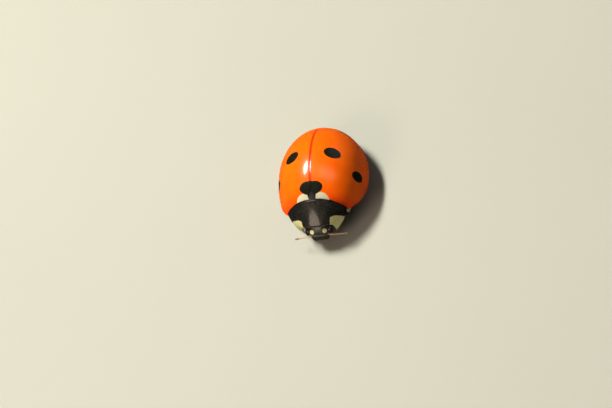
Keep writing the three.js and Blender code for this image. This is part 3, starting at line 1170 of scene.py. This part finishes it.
def neck_shell(material):
    bm = bmesh.new()
    for vert in pebble(bm, neck_radii, 2.4, 56, 36):
        keel = neck_keel * math.exp(-((vert.co.x / 0.12) ** 2)) * smooth(-vert.co.z, 0.3, 0.6)
        vert.co += neck_middle - UP * keel
    close_ball(bm)
    spots = hair_spots(bm, neck_middle)
    piece("neck_shell", bm, material, ["prothorax"])
    return spots


def flank_plate(side_name, side, material):
    bm = bmesh.new()
    for vert in pebble(bm, flank_radii, 2.4, 28, 18):
        out, back, up = vert.co
        taper = 1 - 0.7 * smooth(back, -0.2, 0.21)
        lean = Vector((out + 0.28 * back - 0.3 * up, back, up * taper - 0.25 * back))
        vert.co = on_side(side, flank_middle + lean)
    close_ball(bm)
    name = f"flank_plate_{side_name}"
    piece(name, bm, material, [f"mesepimeron_{side_name}"])


def pale_material_in_painted_shade():
    material, place = new_material("pale_flank_plate_in_painted_shade")
    # Painted shade: the plates are white, but their cream is painted darker, for the shade that they
    # sit in below the wing cases.
    skin = mix(noise(place, 6.0, 4.0), (0.36, 0.33, 0.20), (0.48, 0.45, 0.31))
    return finish(material, skin, uneven(place, 14.0, 0.38, 0.55), pits(place, 24.0, 0.4), 0.004)


neck_spots = neck_shell(plain_black)
pale_flank_in_painted_shade = pale_material_in_painted_shade()
for side_name, side in SIDES.items():
    flank_plate(side_name, side, pale_flank_in_painted_shade)

# %% [markdown]
# ## Hairs
# A ladybird looks bare, yet short pale hairs stand on its legs, mouth, feelers and underside, and
# thick brushes of them under its feet let it walk on glass. One hair is a thin three-sided cone,
# made once. Thousands of copies are written straight into one mesh from lists, since an object for
# each would be far too slow. Each copy has its own small patch of a UV map, placed where its root
# stands on the unrolled surface it grows from.

# %% One hair, and a coat of them
patch_size = 0.003
tile_margin = 0.05
thickness_to_length = 0.045
root_depth = 0.004
floor_clearance = 0.004
tip_lift = 0.385


def hair_size(length):
    """No two hairs are quite the same length."""
    return length * random.uniform(0.7, 1.2)


def hair_shape():
    bm = bmesh.new()
    bmesh.ops.create_cone(bm, cap_ends=True, segments=3, radius1=1, radius2=0.2, depth=1)
    bmesh.ops.translate(bm, vec=(0, 0, 0.5), verts=bm.verts)
    for height in (0.35, 0.7):
        everything = bm.verts[:] + bm.edges[:] + bm.faces[:]
        bmesh.ops.bisect_plane(bm, geom=everything, plane_co=(0, 0, height), plane_no=(0, 0, 1))
    bm.verts.index_update()
    corners = [vert.co.copy() for vert in bm.verts]
    faces = [[vert.index for vert in face.verts] for face in bm.faces]
    bm.free()
    return corners, faces


hair_corners, hair_faces = hair_shape()


class Coat:
    """Hairs gathered for one piece. Each surface they grow on has its own tile of the UV map."""

    def __init__(self, tiles_a_side):
        self.tile_size = 1 / tiles_a_side
        self.tiles_a_side = tiles_a_side
        self.tile = -1
        self.hairs = []

    def next_tile(self):
        self.tile += 1

    def grow(self, root, outward, ahead, length, place):
        column, row = self.tile % self.tiles_a_side, self.tile // self.tiles_a_side
        across = (column + lerp(tile_margin, 1 - tile_margin, place[0])) * self.tile_size
        along = (row + lerp(tile_margin, 1 - tile_margin, place[1])) * self.tile_size
        self.hairs.append((root, outward.normalized(), ahead.normalized(), length, (across, along)))

    def piece(self, name, material, slot):
        points, faces, places = [], [], []
        for root, outward, ahead, length, (across, along) in self.hairs:
            first = len(points)
            aside = ahead.cross(outward)
            thick = length * thickness_to_length
            for corner in hair_corners:
                lift = corner.z * (1 - 0.45 * corner.z)
                reach = corner.z * (0.45 + 0.55 * corner.z)
                way = (outward * lift + ahead * reach) * length
                points.append(root + way + (aside * corner.x + outward * corner.y) * thick)
            for face in hair_faces:
                faces.append([first + index for index in face])
                for index in face:
                    corner = hair_corners[index]
                    places += [across + corner.x * patch_size / 2, along + corner.z * patch_size]
        mesh = bpy.data.meshes.new(name)
        mesh.from_pydata(points, [], faces)
        mesh.uv_layers.new(name="OFBake").data.foreach_set("uv", places)
        bm = bmesh.new()
        bm.from_mesh(mesh)
        bpy.data.meshes.remove(mesh)
        bmesh.ops.recalc_face_normals(bm, faces=bm.faces)
        piece(name, bm, material, [])


# %% Where hairs stand on a limb, a shell or a plate
def cover_limb(coat, limb, count, length, low=0.06):
    """Hairs all round a limb, leaning towards its tip, but none that would touch the floor."""
    coat.next_tile()
    for _ in range(count):
        along, around = random.uniform(low, 0.95), random.random()
        root = limb.at(along, around)
        outward = (root - limb.ring(along).translation).normalized()
        ahead = bezier(limb.line, along + 0.02) - bezier(limb.line, along - 0.02)
        ahead.normalize()
        size = hair_size(length)
        tip = root + (outward * tip_lift + ahead) * size
        if tip.z > floor_level + floor_clearance:
            coat.grow(root - outward * root_depth, outward, ahead, size, (along, around))


def cover_shell(coat, spots, count, length, towards):
    """Hairs on a shell, more of them on its larger faces, leaning roughly one way."""
    coat.next_tile()
    for point, outward, place, _ in random.choices(spots, [spot[3] for spot in spots], k=count):
        ahead = towards + Vector([random.uniform(-0.35, 0.35) for _ in range(3)])
        ahead -= outward * ahead.dot(outward)
        coat.grow(point - outward * root_depth, outward, ahead, hair_size(length), place)


def cover_plates(coat, ends, count, length):
    """Hairs on the lower side of a row of plates, all leaning backwards."""
    for front, rear in zip(ends, ends[1:]):
        coat.next_tile()
        for _ in range(count):
            across, along = random.uniform(0.05, 0.95), random.uniform(0.1, 0.95)
            root = on_plate(front, rear, across, along)
            aside = on_plate(front, rear, across + 0.01, along) - root
            ahead = on_plate(front, rear, across, along + 0.02) - root
            coat.grow(root, ahead.cross(aside), ahead, hair_size(length), (across, along))


def hair_material():
    material, place = new_material("pale_hair")
    skin = mix(noise(place, 18.0), (0.30, 0.22, 0.12), (0.56, 0.47, 0.31))
    return finish(material, skin, uneven(place, 30.0, 0.35, 0.5, 2.0), noise(place, 90.0), 0.001)


# %% Grow the hairs
random.seed(7)
pale_hair = hair_material()
for side_name, side in SIDES.items():
    legs = Coat(5)
    for pair in leg_joints:
        for limb, count in zip(thigh_limbs(pair, side), (20, 10, 90)):
            cover_limb(legs, limb, count, 0.06)
        cover_limb(legs, shin_limbs(pair, side)[0], 170, 0.075, low=0.1)
        foot_hairs = zip(foot_limbs(pair, side), (90, 80, 80, 24), (0.06, 0.06, 0.06, 0.05))
        for limb, count, length in foot_hairs:
            cover_limb(legs, limb, count, length)
    legs.piece(f"leg_hairs_{side_name}", pale_hair, "leg")

    feeler = Coat(4)
    for limb in feeler_joints(side):
        cover_limb(feeler, limb, 16, 0.045, low=0.15)
    feeler.piece(f"feeler_hairs_{side_name}", pale_hair, "feeler")


def facing(spots, direction, least):
    return [spot for spot in spots if spot[1].dot(direction) > least]


mouth = Coat(4)
cover_shell(mouth, facing(lip_spots, face_out, 0.2), 50, 0.06, face_down)
for side in SIDES.values():
    for limb in palp_joints(side):
        cover_limb(mouth, limb, 22, 0.05, low=0.2)
mouth.piece("mouth_hairs", pale_hair, "mouthparts")

brow = Coat(1)
cover_shell(brow, facing(head_spots, face_out, 0.1), 260, 0.05, face_down)
brow.piece("face_hairs", pale_hair, "face")

belly = Coat(4)
cover_plates(belly, belly_ends, 110, 0.07)
cover_plates(belly, chest_ends, 110, 0.07)
cover_shell(belly, facing(neck_spots, -UP, 0.1), 200, 0.06, Vector((0, 1, 0)))
belly.piece("underside_hairs", pale_hair, "underside")

# %% A helper that rounds the corners of a box
def corners(box):
    return [[round(value, 6) for value in corner] for corner in box]
